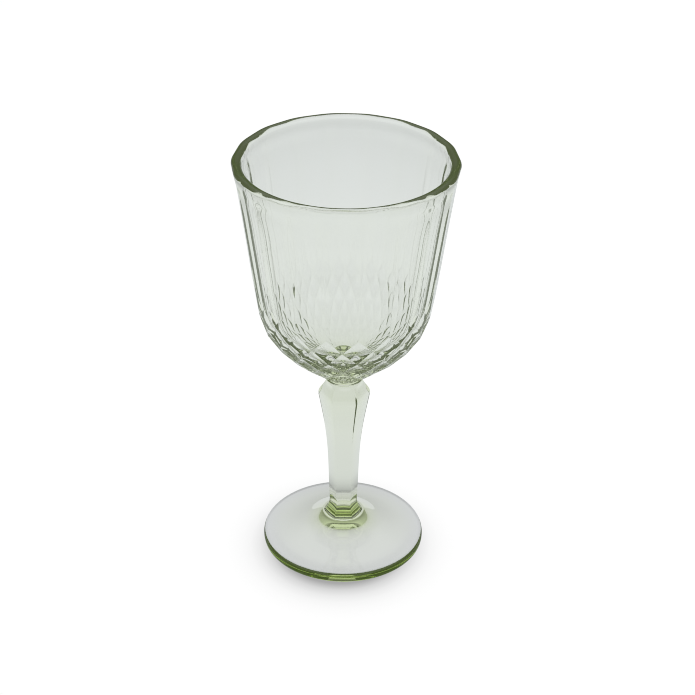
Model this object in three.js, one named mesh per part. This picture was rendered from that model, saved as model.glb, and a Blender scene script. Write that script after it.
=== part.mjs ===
// Stemmed wine glass: a pressed bowl with eighteen flat panels over a lower
// zone of staggered diamond facets, a round joining collar, a solid
// six-sided stem and a round foot. Millimetres, +Z up, origin at the middle of
// the ring the foot rests on. The four gathers of glass are made one after
// another and joined hot at plane faces, so they are four bodies that meet
// face to face on the glass's axis.
import * as THREE from 'three';

// ---------------------------------------------------------------- dimensions
const HEIGHT = 172.3;              // floor to the top of the rim
const PANELS = 18;                 // flat panels around the bowl
const RIM_CORNER_RADIUS = 42.95;   // axis to a panel corner at the rim
const FOOT_RADIUS = 32.9;          // largest radius of the foot
const STEM_SIDES = 6;              // the stem is a hexagon, corners near X
const STEM_TURN = 2.4 * Math.PI / 180;   // its corners from the panel corners
const FOOT_SEAT_Z = 12.4;          // plane where the stem stands on the foot
const COLLAR_SEAT_Z = 76.9;        // plane where the collar sits on the stem
const BOWL_SEAT_Z = 78.2;          // plane where the bowl sits on the collar
const COLLAR_RADIUS = 7.45;
const BOWL_SEAT_RADIUS = 6.4;      // flat under the bowl
const FOOT_SEAT_RADIUS = 8.4;      // flat on top of the foot
const INNER_FLOOR_Z = 89.3;        // lowest point of the inside of the bowl
const ROUND_SEGMENTS = 54;         // around the foot and the collar

// Corner line of the panels: height, radius of the corners.
const PANEL_ROWS = [
  [126.0, 36.3], [138.0, 37.87], [150.0, 39.5], [162.0, 41.22], [166.3, 42.0],
  [170.55, RIM_CORNER_RADIUS],
];

// Rows of facet corners down the lower bowl: height, radius. Even rows have
// their corners under the panel corners, odd rows under the panel middles, so
// each facet is a diamond between four of them.
const FACET_ROWS = [
  [114.0, 34.6], [108.2, 33.3], [101.9, 31.1], [96.5, 27.6], [91.4, 23.0],
  [87.4, 18.2], [84.2, 14.4], [81.6, 11.3], [79.8, 8.9],
];

// Rim: height and radius round half an oval, outside to inside.
const RIM = [
  [171.43, 42.66], [172.07, 41.88], [HEIGHT, 40.8], [172.07, 39.73],
  [171.43, 38.94], [170.55, 38.65],
];

// Inside of the bowl, from under the rim down to its floor.
const INNER = [
  [167.4, 38.53], [165.0, 38.04], [160.0, 37.35], [150.0, 36.05], [138.0, 34.4], [126.0, 32.7],
  [116.0, 31.1], [110.0, 29.8], [105.0, 28.0], [101.0, 25.6], [97.5, 22.4],
  [94.7, 18.4], [92.5, 14.0], [90.8, 9.4], [89.7, 4.8],
];

// Foot, (radius, height): hollow underside, resting ring, rounded edge, sloping
// top, fillet up to the seat of the stem.
const FOOT_PROFILE = [
  [0, 4.0], [5, 3.73], [10, 2.98], [14, 2.14], [18, 1.23], [22, 0.45], [25, 0.08],
  [27.0, 0.0], [32.2, 0.0], [32.75, 0.3], [FOOT_RADIUS, 1.0], [FOOT_RADIUS, 1.7],
  [32.75, 2.45], [32.3, 3.05], [31.4, 3.5], [28.0, 4.25], [24.0, 5.15],
  [20.0, 6.1], [17.5, 6.8], [15.5, 7.55], [13.8, 8.5], [12.2, 9.55],
  [10.8, 10.5], [9.6, 11.35],
  [FOOT_SEAT_RADIUS, FOOT_SEAT_Z], [0, FOOT_SEAT_Z],
];

// Stem, (corner radius, height): flare on the foot, slender waist, swelling to
// the shoulder, chamfer in to the collar.
const STEM_PROFILE = [
  [0, FOOT_SEAT_Z], [7.9, FOOT_SEAT_Z], [7.2, 13.1], [6.45, 14.3],
  [5.9, 15.8], [5.65, 18.0], [5.77, 22.0], [6.0, 28.0], [6.22, 35.5],
  [6.68, 44.4], [7.57, 53.2], [8.93, 61.9], [9.7, 66.2], [10.2, 69.0],
  [10.35, 70.2], [10.2, 71.2], [9.75, 72.2], [8.35, 74.2], [7.3, 75.8],
  [6.6, COLLAR_SEAT_Z],
  [0, COLLAR_SEAT_Z],
];

// Collar, (radius, height): a thin disc with a rounded edge.
const COLLAR_PROFILE = [
  [0, COLLAR_SEAT_Z], [6.6, COLLAR_SEAT_Z], [7.2, 77.12], [COLLAR_RADIUS, 77.5],
  [7.2, 77.85], [6.7, 77.98], [6.2, BOWL_SEAT_Z], [0, BOWL_SEAT_Z],
];

// ------------------------------------------------------------------ helpers
// Solid of revolution about Z. Three.js turns a lathe about Y, so the result
// is stood up. `start` is the azimuth of the first corner.
function turned(profile, segments, start = 0) {
  const points = profile.map(([r, z]) => new THREE.Vector2(r, z));
  const geometry = new THREE.LatheGeometry(points, segments, start + Math.PI / 2);
  geometry.rotateX(Math.PI / 2);
  return geometry;
}

// Closed skin over rings with the same number of points, closed by one point at
// each end. `diagonal(k, i)` is true where the quad between ring k and ring k+1
// after point i is split from (k, i) to (k+1, i+1).
function skinned(startPole, rings, endPole, diagonal) {
  const n = rings[0].length;
  const points = [startPole, ...rings.flat(), endPole];
  const at = (k, i) => 1 + k * n + (i % n);
  const last = points.length - 1;
  const index = [];
  for (let i = 0; i < n; i += 1) index.push(0, at(0, i + 1), at(0, i));
  for (let k = 0; k + 1 < rings.length; k += 1) {
    for (let i = 0; i < n; i += 1) {
      const a = at(k, i);
      const b = at(k, i + 1);
      const c = at(k + 1, i + 1);
      const d = at(k + 1, i);
      if (diagonal(k, i)) index.push(a, b, c, a, c, d);
      else index.push(a, b, d, b, c, d);
    }
  }
  for (let i = 0; i < n; i += 1) {
    index.push(last, at(rings.length - 1, i), at(rings.length - 1, i + 1));
  }
  const geometry = new THREE.BufferGeometry();
  geometry.setAttribute('position', new THREE.Float32BufferAttribute(points.flat(), 3));
  geometry.setIndex(index);
  geometry.computeVertexNormals();
  return geometry;
}

// --------------------------------------------------------------------- bowl
const STEPS = PANELS * 2;              // a point at each corner and middle
const HALF = Math.PI / PANELS;         // half the angle of one panel
const FLAT = Math.cos(HALF);           // middle of a flat panel over its corner

function ring(z, radiusAt) {
  const points = [];
  for (let i = 0; i < STEPS; i += 1) {
    const r = radiusAt(i);
    const height = typeof z === 'function' ? z(i) : z;
    points.push([r * Math.cos(i * HALF), r * Math.sin(i * HALF), height]);
  }
  return points;
}

// One row of facet corners, with the middles of the diamonds between them.
function facetRow(k) {
  const [z, r] = FACET_ROWS[k];
  const above = k > 0 ? FACET_ROWS[k - 1] : null;
  const below = FACET_ROWS[k + 1] ?? null;
  const isCorner = (i) => i % 2 === k % 2;
  const middle = above && below
    ? [((above[0] + below[0]) / 2 + z) / 2, ((above[1] + below[1]) / 2 + r * FLAT) / 2]
    : [z, r * FLAT];
  return ring((i) => (isCorner(i) ? z : middle[0]), (i) => (isCorner(i) ? r : middle[1]));
}

function bowlGeometry() {
  const rings = [];
  rings.push(ring(BOWL_SEAT_Z, () => BOWL_SEAT_RADIUS));
  rings.push(ring(78.7, () => 7.4));
  const firstFacetRing = rings.length;
  for (let k = FACET_ROWS.length - 1; k >= 0; k -= 1) rings.push(facetRow(k));
  const lastFacetRing = rings.length - 1;
  for (const [z, r] of PANEL_ROWS) rings.push(ring(z, (i) => (i % 2 === 0 ? r : r * FLAT)));
  RIM.forEach(([z, r], step) => {
    const flatness = 1 - step / (RIM.length - 1);   // panels fade into the round mouth
    rings.push(ring(z, (i) => (i % 2 === 0 ? r : r * (1 - flatness * (1 - FLAT)))));
  });
  for (const [z, r] of INNER) rings.push(ring(z, () => r));
  // Between facet rows the quads are split along the edges of the diamonds.
  const diagonal = (k, i) => {
    if (k < firstFacetRing || k >= lastFacetRing) return true;
    const row = FACET_ROWS.length - 1 - (k - firstFacetRing);
    return i % 2 === row % 2;
  };
  return skinned([0, 0, BOWL_SEAT_Z], rings, [0, 0, INNER_FLOOR_Z], diagonal);
}

// ----------------------------------------------------------------- assembly
const glass = (color) => new THREE.MeshStandardMaterial({ color, roughness: 0.04, metalness: 0 });

function piece(name, geometry, color) {
  const mesh = new THREE.Mesh(geometry, glass(color));
  mesh.name = name;
  return mesh;
}

const wineGlass = new THREE.Group();
wineGlass.name = 'wine_glass';
wineGlass.add(
  piece('foot', turned(FOOT_PROFILE, ROUND_SEGMENTS), 0xc9d3bf),
  piece('stem', turned(STEM_PROFILE, STEM_SIDES, STEM_TURN), 0xd3dccb),
  piece('collar', turned(COLLAR_PROFILE, ROUND_SEGMENTS), 0xc3cfb4),
  piece('bowl', bowlGeometry(), 0xd6ddd3),
);

export default wineGlass;
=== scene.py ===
import math

import bmesh
import bpy
import numpy as np
from mathutils import Matrix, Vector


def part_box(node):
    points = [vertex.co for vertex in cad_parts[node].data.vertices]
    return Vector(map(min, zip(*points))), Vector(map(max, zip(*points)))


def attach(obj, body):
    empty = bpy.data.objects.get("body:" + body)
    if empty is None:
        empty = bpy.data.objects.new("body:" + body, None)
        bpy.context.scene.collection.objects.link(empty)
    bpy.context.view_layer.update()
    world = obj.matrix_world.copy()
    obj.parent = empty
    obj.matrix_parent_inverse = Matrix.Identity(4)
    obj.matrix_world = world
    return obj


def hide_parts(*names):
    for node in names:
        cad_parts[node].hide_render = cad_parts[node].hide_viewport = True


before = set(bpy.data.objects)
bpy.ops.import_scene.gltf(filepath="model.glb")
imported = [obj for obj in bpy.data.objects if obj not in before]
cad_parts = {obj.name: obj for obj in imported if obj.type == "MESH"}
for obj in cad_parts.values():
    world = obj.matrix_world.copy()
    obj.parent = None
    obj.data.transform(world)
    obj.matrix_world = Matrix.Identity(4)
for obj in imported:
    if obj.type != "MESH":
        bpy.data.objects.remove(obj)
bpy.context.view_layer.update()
MM = 0.001

# ------------------------------------------------------------------ numbers
PANELS = 18                      # flat panels and facet columns round the bowl
HALF = math.pi / PANELS          # half a panel's angle
FLAT = math.cos(HALF)
FOOT_SEAT, COLLAR_SEAT, BOWL_SEAT = (
    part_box("stem")[0][2] / MM,
    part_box("collar")[0][2] / MM,
    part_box("bowl")[0][2] / MM,
)
GAP = 0.02                       # each fused face stands this far off its seat, mm
FUSED_DISC = 5.8                # radius of the fused face between bowl and collar
FUSED_TOP = 6.3                  # radius of the fused face between collar and stem
FUSED_FOOT_HEX = 7.4            # corner radius of the fused face between stem and foot

# Lattice of facet corners down the lower bowl: height, radius (mm).
ROWS = [
    (114.0, 34.6), (108.2, 33.3), (101.9, 31.1), (96.5, 27.6), (91.4, 23.0),
    (87.4, 18.2), (84.2, 14.4), (81.6, 11.3), (79.8, 8.9),
]
PANEL_LINE = [(126.0, 36.3), (138.0, 37.87), (150.0, 39.5), (162.0, 41.22), (166.3, 42.0), (170.55, 42.95)]
INNER = [
    (169.0, 38.67), (167.4, 38.53), (166.2, 38.31), (165.0, 38.04), (160.0, 37.35),
    (150.0, 36.05), (138.0, 34.4), (126.0, 32.7),
    (116.0, 31.1), (110.0, 29.8), (105.0, 28.0), (101.0, 25.6), (97.5, 22.4),
    (94.7, 18.4), (92.5, 14.0), (90.8, 9.4), (89.7, 4.8), (89.3, 0.0),
]
# Rim: the panels end at its outside and it runs over as half an oval.
RIM_HALF, RIM_RISE = 2.15, 1.75
RIM = [
    (170.55 + RIM_RISE * math.sin(t), 42.95 - RIM_HALF * (1 - math.cos(t)))
    for t in np.linspace(0, math.pi, 29)[1:]
]
# Steps along half a panel or along a facet's edge, closer near the ridges.
STEPS = np.array([0, 0.02, 0.05, 0.09, 0.14, 0.21, 0.30, 0.42, 0.58, 0.70, 0.79, 0.86, 0.91, 0.95, 0.98, 1.0])
PANEL_ROUND = 4.5                # radius of the rounded panel corners, mm
LIP_ROUND = 20.0                 # the same near the rim, where the flame softened them
UNDER_DEPTH = 4.0                # hollow under the foot, mm
FACET_HOLLOW = 0.80              # how far a facet's middle sinks in, mm
ROW_HOLLOW = [0, 1.0, 1.0, 1.05, 1.1, 1.2, 1.2, 1.2]   # the same by row, as a share
RIDGE = 0.02                     # rounded part of a facet's edge, as a share of its side


# ------------------------------------------------------------------ helpers
def cubic(knots, values):
    """Natural cubic spline through values at knots, as a function."""
    x, y = np.asarray(knots, float), np.asarray(values, float)
    n = len(x)
    h = np.diff(x)
    a = np.eye(n)
    b = np.zeros((n,) + y.shape[1:])
    for i in range(1, n - 1):
        a[i, i - 1], a[i, i], a[i, i + 1] = h[i - 1], 2 * (h[i - 1] + h[i]), h[i]
        b[i] = 6 * ((y[i + 1] - y[i]) / h[i] - (y[i] - y[i - 1]) / h[i - 1])
    m = np.linalg.solve(a, b)

    def at(t):
        t = np.atleast_1d(np.asarray(t, float))
        k = np.clip(np.searchsorted(x, t) - 1, 0, n - 2)
        shape = (-1,) + (1,) * (y.ndim - 1)
        p, q, w = (x[k + 1] - t).reshape(shape), (t - x[k]).reshape(shape), h[k].reshape(shape)
        return (
            m[k] * p**3 / (6 * w) + m[k + 1] * q**3 / (6 * w)
            + (y[k] / w - m[k] * w / 6) * p + (y[k + 1] / w - m[k + 1] * w / 6) * q
        )

    return at


def smooth_line(points, step):
    """Points about `step` apart along a smooth curve through `points`."""
    p = np.asarray(points, float)
    d = np.concatenate([[0], np.cumsum(np.linalg.norm(np.diff(p, axis=0), axis=1))])
    n = max(int(round(d[-1] / step)), 2)
    return cubic(d, p)(np.linspace(0, d[-1], n + 1))


def straight(a, b, step):
    n = max(int(round(math.dist(a, b) / step)), 1)
    return np.linspace(a, b, n + 1)


def chain(*parts):
    out = [parts[0]]
    for p in parts[1:]:
        out.append(p[1:])
    return np.concatenate(out)


def polar(r, angle, z):
    r, angle, z = np.broadcast_arrays(r, angle, z)
    return np.stack([r * np.cos(angle), r * np.sin(angle), z], -1)


class Skin:
    """Collects patches of points in mm and joins them into one mesh."""

    def __init__(self):
        self.points, self.faces, self.fused, self.count = [], [], [], 0

    def grid(self, p, flip=False, fused=False):
        """p is rows x columns x 3. Facing is along (column step) x (row step)."""
        rows, cols = p.shape[:2]
        self.points.append(p.reshape(-1, 3))
        at = lambda i, j: self.count + i * cols + j
        for i in range(rows - 1):
            for j in range(cols - 1):
                q = (at(i, j), at(i, j + 1), at(i + 1, j + 1), at(i + 1, j))
                self.faces.append(q[::-1] if flip else q)
                self.fused.append(fused)
        self.count += rows * cols

    def rings(self, p, flip=False, fused=False):
        """p is rings x points x 3, each ring closed on itself."""
        self.grid(np.concatenate([p, p[:, :1]], 1), flip, fused)

    def cap(self, ring, centre, flip=False, fused=False):
        self.points.append(np.vstack([ring, centre]))
        n = len(ring)
        for j in range(n):
            q = (self.count + j, self.count + (j + 1) % n, self.count + n)
            self.faces.append(q[::-1] if flip else q)
            self.fused.append(fused)
        self.count += n + 1

    def build(self, name):
        mesh = bpy.data.meshes.new(name)
        mesh.from_pydata((np.vstack(self.points) * MM).tolist(), [], self.faces)
        layer = mesh.attributes.new("fused", "FLOAT", "FACE")
        layer.data.foreach_set("value", np.array(self.fused, float))
        bm = bmesh.new()
        bm.from_mesh(mesh)
        bmesh.ops.remove_doubles(bm, verts=bm.verts, dist=2e-7)
        bmesh.ops.dissolve_degenerate(bm, edges=bm.edges, dist=1e-8)
        open_edges = sum(not e.is_manifold for e in bm.edges)
        if open_edges:
            raise RuntimeError(f"{name}: {open_edges} open edges")
        if bm.calc_volume(signed=True) < 0:
            raise RuntimeError(f"{name}: inside out")
        bm.to_mesh(mesh)
        bm.free()
        mesh.polygons.foreach_set("use_smooth", [True] * len(mesh.polygons))
        sharp = mesh.attributes.get("sharp_edge") or mesh.attributes.new("sharp_edge", "BOOLEAN", "EDGE")
        flags = np.zeros(len(mesh.edges), bool)
        face_is = np.zeros(len(mesh.polygons), float)
        mesh.attributes["fused"].data.foreach_get("value", face_is)
        inside, outside = set(), set()
        for poly in mesh.polygons:
            (inside if face_is[poly.index] > 0.5 else outside).update(poly.edge_keys)
        both = inside & outside
        for e in mesh.edges:
            flags[e.index] = tuple(sorted(e.vertices)) in both
        sharp.data.foreach_set("value", flags)
        mesh.update()
        ob = bpy.data.objects.new(name, mesh)
        bpy.context.collection.objects.link(ob)
        return ob


def hexagon(corner_radius, rounding, per_side=10, per_corner=6):
    """One ring of a hexagon with corners on X and rounded corners, as x, y."""
    reach = rounding / math.cos(math.pi / 6)
    out = []
    for k in range(6):
        c = math.radians(60 * k)
        centre = (corner_radius - reach) * np.array([math.cos(c), math.sin(c)])
        for t in np.linspace(-30, 30, per_corner + 1):
            a = c + math.radians(t)
            out.append(centre + rounding * np.array([math.cos(a), math.sin(a)]))
        a = c + math.radians(30)
        nxt = math.radians(60 * (k + 1))
        start = out[-1]
        end = (corner_radius - reach) * np.array([math.cos(nxt), math.sin(nxt)]) + rounding * np.array(
            [math.cos(a), math.sin(a)]
        )
        for t in (0.03, 0.1, 0.22, 0.36, 0.5, 0.64, 0.78, 0.9, 0.97):
            out.append(start + (end - start) * t)
    return np.array(out)


# --------------------------------------------------------------------- bowl
def lattice_node(k, column):
    """Facet corner in row k; column counts half panels and has k's parity."""
    z, r = ROWS[k]
    column %= 2 * PANELS
    if 0 < k < len(ROWS) - 1:
        z += 0.14 * math.sin(1.9 * column + 2.3 * k)
        column += 0.035 * math.sin(3.1 * column + 1.7 * k + 0.5)
    return polar(r, column * HALF, z)


corner_line = cubic(
    [z for z, _ in [(107.6, 33.67), ROWS[0]] + PANEL_LINE],
    [r for _, r in [(107.6, 33.67), ROWS[0]] + PANEL_LINE],
)


def zigzag(k_out, k_mid, column):
    """Facet edges from (k_out, column) to (k_mid, column + 1) and back out."""
    a, b, c = lattice_node(k_out, column), lattice_node(k_mid, column + 1), lattice_node(k_out, column + 2)
    s = STEPS[:, None]
    first = a * (1 - s) + b * s
    second = b * (1 - s) + c * s
    return first, second


def dip(s):
    """A hollow from 0 to 1 that starts and ends softly, for rounded ridges."""
    near, far = np.sqrt(s**2 + RIDGE**2) - RIDGE, np.sqrt((1 - s) ** 2 + RIDGE**2) - RIDGE
    return near * far


def two_halves(first, second):
    return np.concatenate([first, second[1:]])


# Steps have the same spacing from either end, so both halves share columns.
assert np.allclose(STEPS, 1 - STEPS[::-1])


def chord(column, z):
    """Points on the flat panel at height z, one for each step across it, with
    the corners rounded off."""
    r = float(corner_line(z)[0])
    u = np.concatenate([STEPS / 2, 0.5 + STEPS[1:] / 2])
    along = (u - 0.5) * 2 * r * math.sin(HALF)
    soft = min(1.0, max(0.0, (float(z) - 158.0) / 12.0))
    radius = PANEL_ROUND + (LIP_ROUND - PANEL_ROUND) * soft * soft * (3 - 2 * soft)
    tangent = radius * math.tan(HALF)
    straight_part = r * math.sin(HALF) - tangent
    turn = np.maximum(0.0, np.abs(along) - straight_part) / tangent * HALF
    depth = r * FLAT - radius * (1 - np.cos(turn))
    side = np.sign(along) * (np.minimum(np.abs(along), straight_part) + radius * np.sin(turn))
    middle = (column + 1) * HALF
    return np.stack(
        [depth * math.cos(middle) - side * math.sin(middle),
         depth * math.sin(middle) + side * math.cos(middle),
         np.full_like(side, float(z))], -1
    )


def make_bowl():
    skin = Skin()
    u = np.concatenate([STEPS / 2, 0.5 + STEPS[1:] / 2])
    heights = np.concatenate([[0, 0.004, 0.012, 0.03, 0.06], np.linspace(0.1, 1, 19)])
    top = PANEL_LINE[-1][0]
    lip = np.array(RIM)
    inner = smooth_line([RIM[-1]] + INNER + [(z, -r) for z, r in INNER[-2:-4:-1]], 1.0)[1:]
    inner = inner[inner[:, 1] > 0.9]
    for j in range(0, 2 * PANELS, 2):
        # Panel: from the V of facet edges up to under the rim.
        base = two_halves(*zigzag(0, 1, j))
        rows = []
        for v in heights:
            z = base[:, 2] * (1 - v) + top * v
            flat = np.array([chord(j, zz)[i] for i, zz in enumerate(z)])
            start = np.array([chord(j, zz)[i] for i, zz in enumerate(base[:, 2])])
            flat = flat + (base - start) * (1 - v) ** 3
            rows.append(flat)
        skin.grid(np.array(rows))
        # Lip: the panels fade into the round mouth.
        angle = np.arctan2(rows[-1][:, 1], rows[-1][:, 0])
        polygon = np.linalg.norm(rows[-1][:, :2], axis=1) / PANEL_LINE[-1][1]
        length = np.linspace(0, 1, len(lip))
        fade = 1 - np.clip((length - 0.05) / 0.75, 0, 1) ** 2 * (3 - 2 * np.clip((length - 0.05) / 0.75, 0, 1))
        lip_rows = [
            polar(r * (w * polygon + (1 - w)), angle, z) for (z, r), w in zip(lip, fade)
        ]
        lip_rows[0] = rows[-1]
        skin.grid(np.array(lip_rows))
        # Inside, with the faint waves of a pressed and fire-polished wall.
        inner_rows = [lip_rows[-1]]
        for z, r in inner:
            calm = math.exp(-((max(0.0, z - 158) / 8) ** 2)) * min(1.0, r / 20)
            wave = (
                0.020 * np.sin(5 * angle + 0.7 + 0.9 * math.sin(z / 17))
                + 0.010 * np.sin(11 * angle - 1.1 + 1.3 * math.sin(z / 26 + 1))
                + 0.004 * np.sin(19 * angle + 2.3 + 0.8 * math.sin(z / 13 + 2))
                + 0.008 * math.sin(z / 5.5 + 0.6)
            )
            inner_rows.append(polar(r + wave * calm, angle, z))
        skin.grid(np.array(inner_rows))
        last = inner_rows[-1]
        skin.points.append(np.vstack([last, [[0, 0, INNER[-1][0]]]]))
        for i in range(len(last) - 1):
            skin.faces.append((skin.count + i, skin.count + i + 1, skin.count + len(last)))
            skin.fused.append(False)
        skin.count += len(last) + 1
        # Skirt: from the lowest facet edges to the seat.
        low = two_halves(*zigzag(8, 7, j))
        angle_low = np.arctan2(low[:, 1], low[:, 0])
        seat_line = [(79.05, 8.0), (78.85, 7.7), (78.65, 7.2), (78.45, 6.6), (78.3, 6.1), (BOWL_SEAT + GAP, FUSED_DISC + 0.05), (BOWL_SEAT + GAP, FUSED_DISC)]
        neck = polar(seat_line[0][1], angle_low, seat_line[0][0])
        skirt = [neck * (1 - v) + low * v for v in (0, 0.15, 0.35, 0.55, 0.75, 0.9, 1)]
        below = [polar(r, angle_low, z) for z, r in reversed(seat_line[1:])]
        skin.grid(np.array(below + skirt))
        disc = [polar(FUSED_DISC * q, angle_low, BOWL_SEAT + GAP) for q in (0.25, 0.5, 0.75, 1.0)]
        skin.grid(np.array(disc), fused=True)
        skin.points.append(np.vstack([disc[0], [[0, 0, BOWL_SEAT + GAP]]]))
        for i in range(len(low) - 1):
            skin.faces.append((skin.count + i + 1, skin.count + i, skin.count + len(low)))
            skin.fused.append(True)
        skin.count += len(low) + 1
        # Diamond facets below the panels.
        for k in range(1, len(ROWS) - 1):
            column = j + (k + 1) % 2
            t, b = lattice_node(k - 1, column), lattice_node(k + 1, column)
            left, right = lattice_node(k, column - 1), lattice_node(k, column + 1)
            su, sv = STEPS[None, :, None], STEPS[:, None, None]
            p = (
                (1 - su) * (1 - sv) * b + su * (1 - sv) * right
                + (1 - su) * sv * left + su * sv * t
            )
            normal = np.cross(right - left, t - b)
            normal /= np.linalg.norm(normal)
            size = min(np.linalg.norm(right - left), np.linalg.norm(t - b)) / 11.5
            hollow = 16 * dip(su) * dip(sv) * (1 + 0.2 * math.sin(2.7 * column + 4.1 * k)) * ROW_HOLLOW[k]
            p = p - FACET_HOLLOW * size * hollow * normal
            skin.grid(p)
    return skin.build("bowl_glass")


# ------------------------------------------------------- collar, stem, foot
def make_collar():
    around = np.linspace(0, 2 * math.pi, 144, endpoint=False)
    low, high = COLLAR_SEAT + GAP, BOWL_SEAT - GAP
    edge = smooth_line(
        [(6.6, low), (7.15, 77.1), (7.42, 77.38), (7.42, 77.62), (7.15, 77.85), (6.75, 77.97), (6.3, 78.06), (5.85, high)], 0.08
    )
    skin = Skin()
    ring, seam = polar(6.6, around, low), polar(FUSED_TOP, around, low)
    skin.rings(np.array([seam, ring * 0.5 + seam * 0.5, ring]))
    inner = [seam * np.array([q, q, 1]) for q in (0.25, 0.5, 0.75, 1.0)]
    skin.rings(np.array(inner), fused=True)
    skin.cap(inner[0], [[0, 0, low]], flip=True, fused=True)
    skin.rings(np.array([polar(r, around, z) for r, z in edge]))
    top = [polar(r, around, high) for r in (5.85, FUSED_DISC)]
    skin.rings(np.array(top))
    disc = [polar(FUSED_DISC * q, around, high) for q in (1.0, 0.75, 0.5, 0.25)]
    skin.rings(np.array(disc), fused=True)
    skin.cap(disc[-1], [[0, 0, high]], fused=True)
    return skin.build("collar_glass")


STEM = [
    (12.4, 7.9), (13.1, 7.2), (14.3, 6.45), (15.8, 5.9), (18.0, 5.65), (22.0, 5.77),
    (28.0, 6.0), (35.5, 6.22), (44.4, 6.68), (53.2, 7.57), (61.9, 8.93), (66.2, 9.7),
    (69.0, 10.2), (70.2, 10.35), (71.2, 10.2), (72.2, 9.75), (74.2, 8.35), (75.8, 7.3),
    (76.4, 6.95), (76.9, 6.6),
]
STEM_TURN = math.radians(2.4)    # the stem's corners sit this far round from the panels' corners


def make_stem():
    line = smooth_line(STEM, 0.35)
    low, high = FOOT_SEAT + GAP, COLLAR_SEAT - GAP
    line[0], line[-1] = (low, 7.9), (high, 6.6)
    rings = []
    for z, r in line:
        flat = hexagon(r, 0.3)
        far = np.linalg.norm(flat, axis=1)[:, None]
        # Hexagon to round under the collar, and half way to round at the foot.
        fade = min(1.0, max(0.0, (z - 73.6) / 2.6)) ** 2
        flat = flat * (1 - fade + fade * r / far)
        fade = 0.6 * min(1.0, max(0.0, (20.0 - z) / 7.0)) ** 1.5
        flat = flat * (1 - fade + fade * r / far)
        rings.append(np.column_stack([flat, np.full(len(flat), z)]))
    skin = Skin()
    skin.rings(np.array(rings))
    bottom = np.column_stack([hexagon(FUSED_FOOT_HEX, 0.5), np.full(len(rings[0]), low)])
    top = rings[-1] * np.array([FUSED_TOP / 6.6, FUSED_TOP / 6.6, 1])
    skin.rings(np.array([bottom, rings[0]]))
    skin.rings(np.array([rings[-1], top]))
    for face, z, flip in ((bottom, low, False), (top, high, True)):
        discs = [face * np.array([q, q, 1]) for q in (0.25, 0.5, 0.75, 1.0)]
        skin.rings(np.array(discs), flip=flip, fused=True)
        skin.cap(discs[0], [[0, 0, z]], flip=not flip, fused=True)
    cos, sin = math.cos(STEM_TURN), math.sin(STEM_TURN)
    turned = np.array([[cos, sin, 0], [-sin, cos, 0], [0, 0, 1]])
    skin.points = [p @ turned for p in skin.points]
    return skin.build("stem_glass")


def make_foot():
    around = np.linspace(0, 2 * math.pi, 216, endpoint=False)
    r_in = np.linspace(0.8, 27.0, 36)
    under = np.column_stack([r_in, UNDER_DEPTH * (1 - (r_in / 27.0) ** 2) ** 2])
    ring = straight((27.0, 0), (32.2, 0), 0.6)
    edge = smooth_line(
        [(32.2, 0.0), (32.6, 0.12), (32.82, 0.45), (32.9, 1.0), (32.9, 1.7), (32.75, 2.45), (32.3, 3.05),
         (31.4, 3.5)], 0.15
    )
    seat = FOOT_SEAT - GAP
    sweep = smooth_line(
        [(31.4, 3.5), (28.0, 4.25), (24.0, 5.15), (20.0, 6.1), (17.5, 6.8), (15.5, 7.55), (13.8, 8.5),
         (12.2, 9.55), (10.8, 10.5), (9.6, 11.35), (8.8, 11.95), (8.3, seat)], 0.45,
    )
    profile = chain(under, ring, edge, sweep)
    skin = Skin()
    skin.rings(np.array([polar(r, around, z) for r, z in profile]))
    skin.cap(polar(profile[0][0], around, profile[0][1]), [[0, 0, UNDER_DEPTH]], flip=True)
    hexa = hexagon(FUSED_FOOT_HEX, 0.5)
    turn = (np.arctan2(hexa[:, 1], hexa[:, 0]) + STEM_TURN) % (2 * math.pi)
    hex_at = np.interp(
        around, np.sort(turn), np.linalg.norm(hexa, axis=1)[np.argsort(turn)], period=2 * math.pi
    )
    seam = polar(hex_at, around, seat)
    skin.rings(np.array([polar(profile[-1][0], around, seat), seam]))
    inner = [seam * np.array([q, q, 1]) for q in (1.0, 0.75, 0.5, 0.25)]
    skin.rings(np.array(inner), fused=True)
    skin.cap(inner[-1], [[0, 0, seat]], fused=True)
    return skin.build("foot_glass")


# ---------------------------------------------------------------- materials
IOR = 1.515


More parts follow.
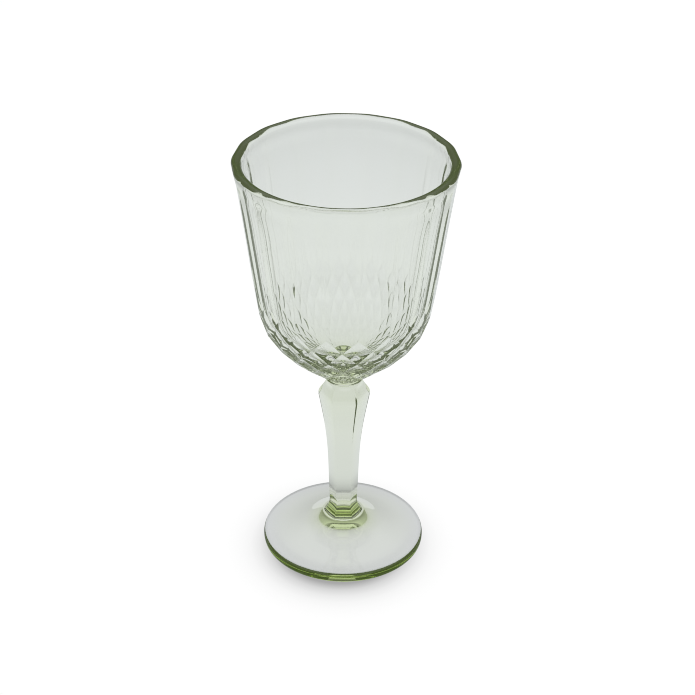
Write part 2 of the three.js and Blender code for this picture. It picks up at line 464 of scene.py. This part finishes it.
def glass(name, tint, density, wave_scale, seed):
    """Clear pressed glass with a green body: a faint ripple, absorption inside,
    and no bend where two pieces are fused."""
    mat = bpy.data.materials.new(name)
    mat.use_nodes = True
    nt = mat.node_tree
    nt.nodes.clear()
    new = nt.nodes.new
    out = new("ShaderNodeOutputMaterial")
    p = new("ShaderNodeBsdfPrincipled")
    p.inputs["Base Color"].default_value = (1.0, 1.0, 1.0, 1.0)
    p.inputs["Transmission Weight"].default_value = 1.0
    p.inputs["IOR"].default_value = IOR
    p.inputs["Roughness"].default_value = 0.0
    coords = new("ShaderNodeTexCoord")
    fused = new("ShaderNodeAttribute")
    fused.attribute_name = "fused"
    # No bend across a fused face.
    ior = new("ShaderNodeMath")
    ior.operation = "MULTIPLY_ADD"
    nt.links.new(fused.outputs["Fac"], ior.inputs[0])
    ior.inputs[1].default_value = 1.0002 - IOR
    ior.inputs[2].default_value = IOR
    nt.links.new(ior.outputs[0], p.inputs["IOR"])
    # Ripple left by the mould, smoothed by the flame.
    ripple = new("ShaderNodeTexNoise")
    ripple.inputs["Scale"].default_value = wave_scale
    ripple.inputs["Detail"].default_value = 1.5
    ripple.inputs["Roughness"].default_value = 0.4
    shift = new("ShaderNodeMapping")
    shift.inputs["Location"].default_value = (seed, 0.3 * seed, -0.7 * seed)
    nt.links.new(coords.outputs["Object"], shift.inputs["Vector"])
    nt.links.new(shift.outputs[0], ripple.inputs["Vector"])
    bump = new("ShaderNodeBump")
    bump.inputs["Strength"].default_value = 0.06
    bump.inputs["Distance"].default_value = 0.0004
    nt.links.new(ripple.outputs["Fac"], bump.inputs["Height"])
    nt.links.new(bump.outputs[0], p.inputs["Normal"])
    volume = new("ShaderNodeVolumeAbsorption")
    volume.inputs["Color"].default_value = (*tint, 1.0)
    volume.inputs["Density"].default_value = density
    nt.links.new(p.outputs[0], out.inputs["Surface"])
    nt.links.new(volume.outputs[0], out.inputs["Volume"])
    return mat


TINT, DENSITY = (0.71, 0.87, 0.10), 12.0
pieces = {
    "bowl": (make_bowl(), glass("bowl_glass", TINT, DENSITY, 90.0, 1.0)),
    "collar": (make_collar(), glass("collar_glass", TINT, DENSITY, 120.0, 2.0)),
    "stem": (make_stem(), glass("stem_glass", TINT, 11.0, 120.0, 3.0)),
    "foot": (make_foot(), glass("foot_glass", TINT, 36.0, 90.0, 4.0)),
}
for node, (piece, material) in pieces.items():
    piece.data.materials.append(material)
    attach(piece, "root")
    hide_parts(node)

# -------------------------------------------------------------------- stage
bpy.ops.mesh.primitive_plane_add(size=12.0, location=(0, 0, -0.00015))
floor = bpy.context.object
floor.name = "floor"
mat = bpy.data.materials.new("pale_floor")
mat.use_nodes = True
nt = mat.node_tree
nt.nodes.clear()
out = nt.nodes.new("ShaderNodeOutputMaterial")
geo = nt.nodes.new("ShaderNodeNewGeometry")
flat = nt.nodes.new("ShaderNodeVectorMath")
flat.operation = "MULTIPLY"
flat.inputs[1].default_value = (1, 1, 0)
nt.links.new(geo.outputs["Position"], flat.inputs[0])
moved = nt.nodes.new("ShaderNodeVectorMath")
moved.operation = "MULTIPLY_ADD"
moved.inputs[1].default_value = (1.05, 1, 0)
moved.inputs[2].default_value = (0.0010, 0.0063, 0)
nt.links.new(flat.outputs[0], moved.inputs[0])
length = nt.nodes.new("ShaderNodeVectorMath")
length.operation = "LENGTH"
nt.links.new(flat.outputs[0], length.inputs[0])


def ramp(source, stops, interpolation="EASE"):
    r = nt.nodes.new("ShaderNodeValToRGB")
    r.color_ramp.interpolation = interpolation
    while len(r.color_ramp.elements) < len(stops):
        r.color_ramp.elements.new(0.5)
    for e, (at, value) in zip(r.color_ramp.elements, stops):
        e.position = at
        e.color = (*value, 1) if isinstance(value, tuple) else (value, value, value, 1)
    nt.links.new(source, r.inputs["Fac"])
    return r


# Seen directly: a white sweep with the soft shadow at the front of the foot.
offset = nt.nodes.new("ShaderNodeVectorMath")
offset.operation = "LENGTH"
nt.links.new(moved.outputs[0], offset.inputs[0])
shade = ramp(
    offset.outputs["Value"],
    [(0.0, 0.28), (0.0255, 0.33), (0.0275, 0.41), (0.0293, 0.54), (0.0310, 0.66),
     (0.0345, 0.81), (0.0385, 0.91), (0.0440, 0.97), (0.0520, 1.0)],
    "LINEAR",
)
direct = nt.nodes.new("ShaderNodeEmission")
direct.inputs["Strength"].default_value = 1.01
nt.links.new(shade.outputs["Color"], direct.inputs["Color"])
# Seen through or in the glass: the pool of light on the sweep, fading outwards.
oval = nt.nodes.new("ShaderNodeVectorMath")
oval.operation = "MULTIPLY"
oval.inputs[1].default_value = (1.6, 1, 0)
nt.links.new(flat.outputs[0], oval.inputs[0])
reach = nt.nodes.new("ShaderNodeVectorMath")
reach.operation = "LENGTH"
nt.links.new(oval.outputs[0], reach.inputs[0])
pool = ramp(
    reach.outputs["Value"],
    [(at, (0.965 * v, v, 1.0 * v)) for at, v in
     [(0.0, 0.70), (0.05, 0.70), (0.10, 0.72), (0.16, 0.75), (0.22, 0.78), (0.30, 0.785), (0.55, 0.55), (1.0, 0.30)]],
    "LINEAR",
)
PAINTED_LIGHT_UNDER_FOOT = (1.045, 1.01, 1.14)   # the floor's light through the green foot, evened out
# Painted shade for light seen through the glass: a dark ring of painted shadow on the sweep just round the foot, and
# painted extra light under the foot.
ring = ramp(
    length.outputs["Value"],
    [(0.0, PAINTED_LIGHT_UNDER_FOOT), (0.0318, PAINTED_LIGHT_UNDER_FOOT), (0.0330, 0.06), (0.0350, 0.15), (0.0390, 0.70), (0.0450, 0.96),
     (0.0520, 1.0)],
    "LINEAR",
)
# Light that passes through without a turn inside sees the sweep go on pale.
path = nt.nodes.new("ShaderNodeLightPath")
clear = nt.nodes.new("ShaderNodeMath")
clear.operation = "LESS_THAN"
clear.inputs[1].default_value = 0.5
nt.links.new(path.outputs["Glossy Depth"], clear.inputs[0])
pale = ramp(
    reach.outputs["Value"],
    [(at, (0.965 * v, v, 1.0 * v)) for at, v in
     [(0.0, 0.70), (0.05, 0.70), (0.10, 0.72), (0.16, 0.75), (0.22, 0.78), (0.30, 0.785), (0.55, 0.68), (1.0, 0.64)]],
    "LINEAR",
)
seen = nt.nodes.new("ShaderNodeMix")
seen.data_type = "RGBA"
nt.links.new(clear.outputs[0], seen.inputs["Factor"])
nt.links.new(pool.outputs["Color"], seen.inputs["A"])
nt.links.new(pale.outputs["Color"], seen.inputs["B"])
# The painted shadow ring and the painted light under the foot, multiplied into the sweep as seen through the glass.
under = nt.nodes.new("ShaderNodeMix")
under.data_type = "RGBA"
under.blend_type = "MULTIPLY"
under.inputs["Factor"].default_value = 1.0
nt.links.new(seen.outputs["Result"], under.inputs["A"])
nt.links.new(ring.outputs["Color"], under.inputs["B"])
glow = nt.nodes.new("ShaderNodeEmission")
nt.links.new(under.outputs["Result"], glow.inputs["Color"])
either = nt.nodes.new("ShaderNodeMixShader")
nt.links.new(path.outputs["Is Camera Ray"], either.inputs["Fac"])
nt.links.new(glow.outputs[0], either.inputs[1])
nt.links.new(direct.outputs[0], either.inputs[2])
nt.links.new(either.outputs[0], out.inputs["Surface"])
floor.data.materials.append(mat)

# ------------------------------------------------------------ light and view
TURNS = 3                        # turns inside the glass before light counts as trapped
world = bpy.data.worlds.new("studio")
bpy.context.scene.world = world
world.use_nodes = True
nt = world.node_tree
nt.nodes.clear()
out = nt.nodes.new("ShaderNodeOutputWorld")
coords = nt.nodes.new("ShaderNodeTexCoord")
split = nt.nodes.new("ShaderNodeSeparateXYZ")
nt.links.new(coords.outputs["Generated"], split.inputs[0])
tent = ramp(
    split.outputs["Z"],
    [(0.0, (0.125, 0.150, 0.090)), (0.10, (0.125, 0.150, 0.090))]
    + [(at, (0.96 * v, 0.99 * v, 1.02 * v)) for at, v in
       [(0.20, 0.12), (0.45, 0.25), (0.60, 0.60), (0.75, 1.0), (1.0, 0.80)]],
    "LINEAR",
)
dome = nt.nodes.new("ShaderNodeBackground")
dome.inputs["Strength"].default_value = 0.8
nt.links.new(tent.outputs["Color"], dome.inputs["Color"])
sweep = nt.nodes.new("ShaderNodeBackground")
sweep.inputs["Color"].default_value = (1, 1, 1, 1)
sweep.inputs["Strength"].default_value = 1.02
path = nt.nodes.new("ShaderNodeLightPath")
either = nt.nodes.new("ShaderNodeMixShader")
# Light that turned over many times inside the glass comes from the dim corners.
dim = nt.nodes.new("ShaderNodeBackground")
dim.inputs["Color"].default_value = (0.090, 0.108, 0.058, 1)
deep = nt.nodes.new("ShaderNodeMath")
deep.operation = "GREATER_THAN"
deep.inputs[1].default_value = TURNS + 0.5
nt.links.new(path.outputs["Glossy Depth"], deep.inputs[0])
# Light that passes through without a turn inside sees a pale backdrop low down.
clear = nt.nodes.new("ShaderNodeMath")
clear.operation = "LESS_THAN"
clear.inputs[1].default_value = 0.5
nt.links.new(path.outputs["Glossy Depth"], clear.inputs[0])
backdrop = ramp(
    split.outputs["Z"],
    [(at, (0.97 * v, v, v)) for at, v in
     [(0.0, 0.70), (0.20, 0.66), (0.45, 0.50), (0.60, 0.60), (0.75, 0.85), (1.0, 0.70)]],
    "LINEAR",
)
screen = nt.nodes.new("ShaderNodeBackground")
nt.links.new(backdrop.outputs["Color"], screen.inputs["Color"])
through = nt.nodes.new("ShaderNodeMixShader")
nt.links.new(clear.outputs[0], through.inputs["Fac"])
nt.links.new(dome.outputs[0], through.inputs[1])
nt.links.new(screen.outputs[0], through.inputs[2])
inside = nt.nodes.new("ShaderNodeMixShader")
nt.links.new(deep.outputs[0], inside.inputs["Fac"])
nt.links.new(through.outputs[0], inside.inputs[1])
nt.links.new(dim.outputs[0], inside.inputs[2])
nt.links.new(path.outputs["Is Camera Ray"], either.inputs["Fac"])
nt.links.new(inside.outputs[0], either.inputs[1])
nt.links.new(sweep.outputs[0], either.inputs[2])
nt.links.new(either.outputs[0], out.inputs["Surface"])

camera = bpy.data.cameras.new("camera")
camera.sensor_width = 36.0
camera.lens = 1799.58 / 695 * 36.0
camera.clip_start, camera.clip_end = 0.01, 50.0
view = bpy.data.objects.new("camera", camera)
bpy.context.collection.objects.link(view)
turn, pitch, roll = math.radians(1.2), math.radians(31.451), math.radians(0.552)
right = np.array([1.0, 0, 0])
up = np.array([0, math.sin(pitch), math.cos(pitch)])
forward = np.array([0, math.cos(pitch), -math.sin(pitch)])
r2 = right * math.cos(roll) + up * math.sin(roll)
u2 = -right * math.sin(roll) + up * math.cos(roll)
spin = np.array([[math.cos(turn), -math.sin(turn), 0], [math.sin(turn), math.cos(turn), 0], [0, 0, 1]])
place = spin @ np.array([0.001138, -0.601959, 0.458955])
axes = spin @ np.column_stack([r2, u2, -forward])
view.matrix_world = Matrix([[*axes[i], place[i]] for i in range(3)] + [[0, 0, 0, 1]])
bpy.context.scene.camera = view

scene = bpy.context.scene
scene.view_settings.view_transform = "Standard"
scene.view_settings.look = "None"
scene.cycles.max_bounces = 32
scene.cycles.transmission_bounces = 32
scene.cycles.glossy_bounces = 16
# Light trapped in the glass after this many turns takes the light of the room.
scene.cycles.use_fast_gi = True
scene.cycles.fast_gi_method = "REPLACE"
scene.cycles.ao_bounces = TURNS
scene.cycles.ao_bounces_render = TURNS
world.light_settings.distance = 0.0005
scene.cycles.transparent_max_bounces = 16
scene.cycles.filter_width = 1.0
scene.cycles.diffuse_bounces = 2
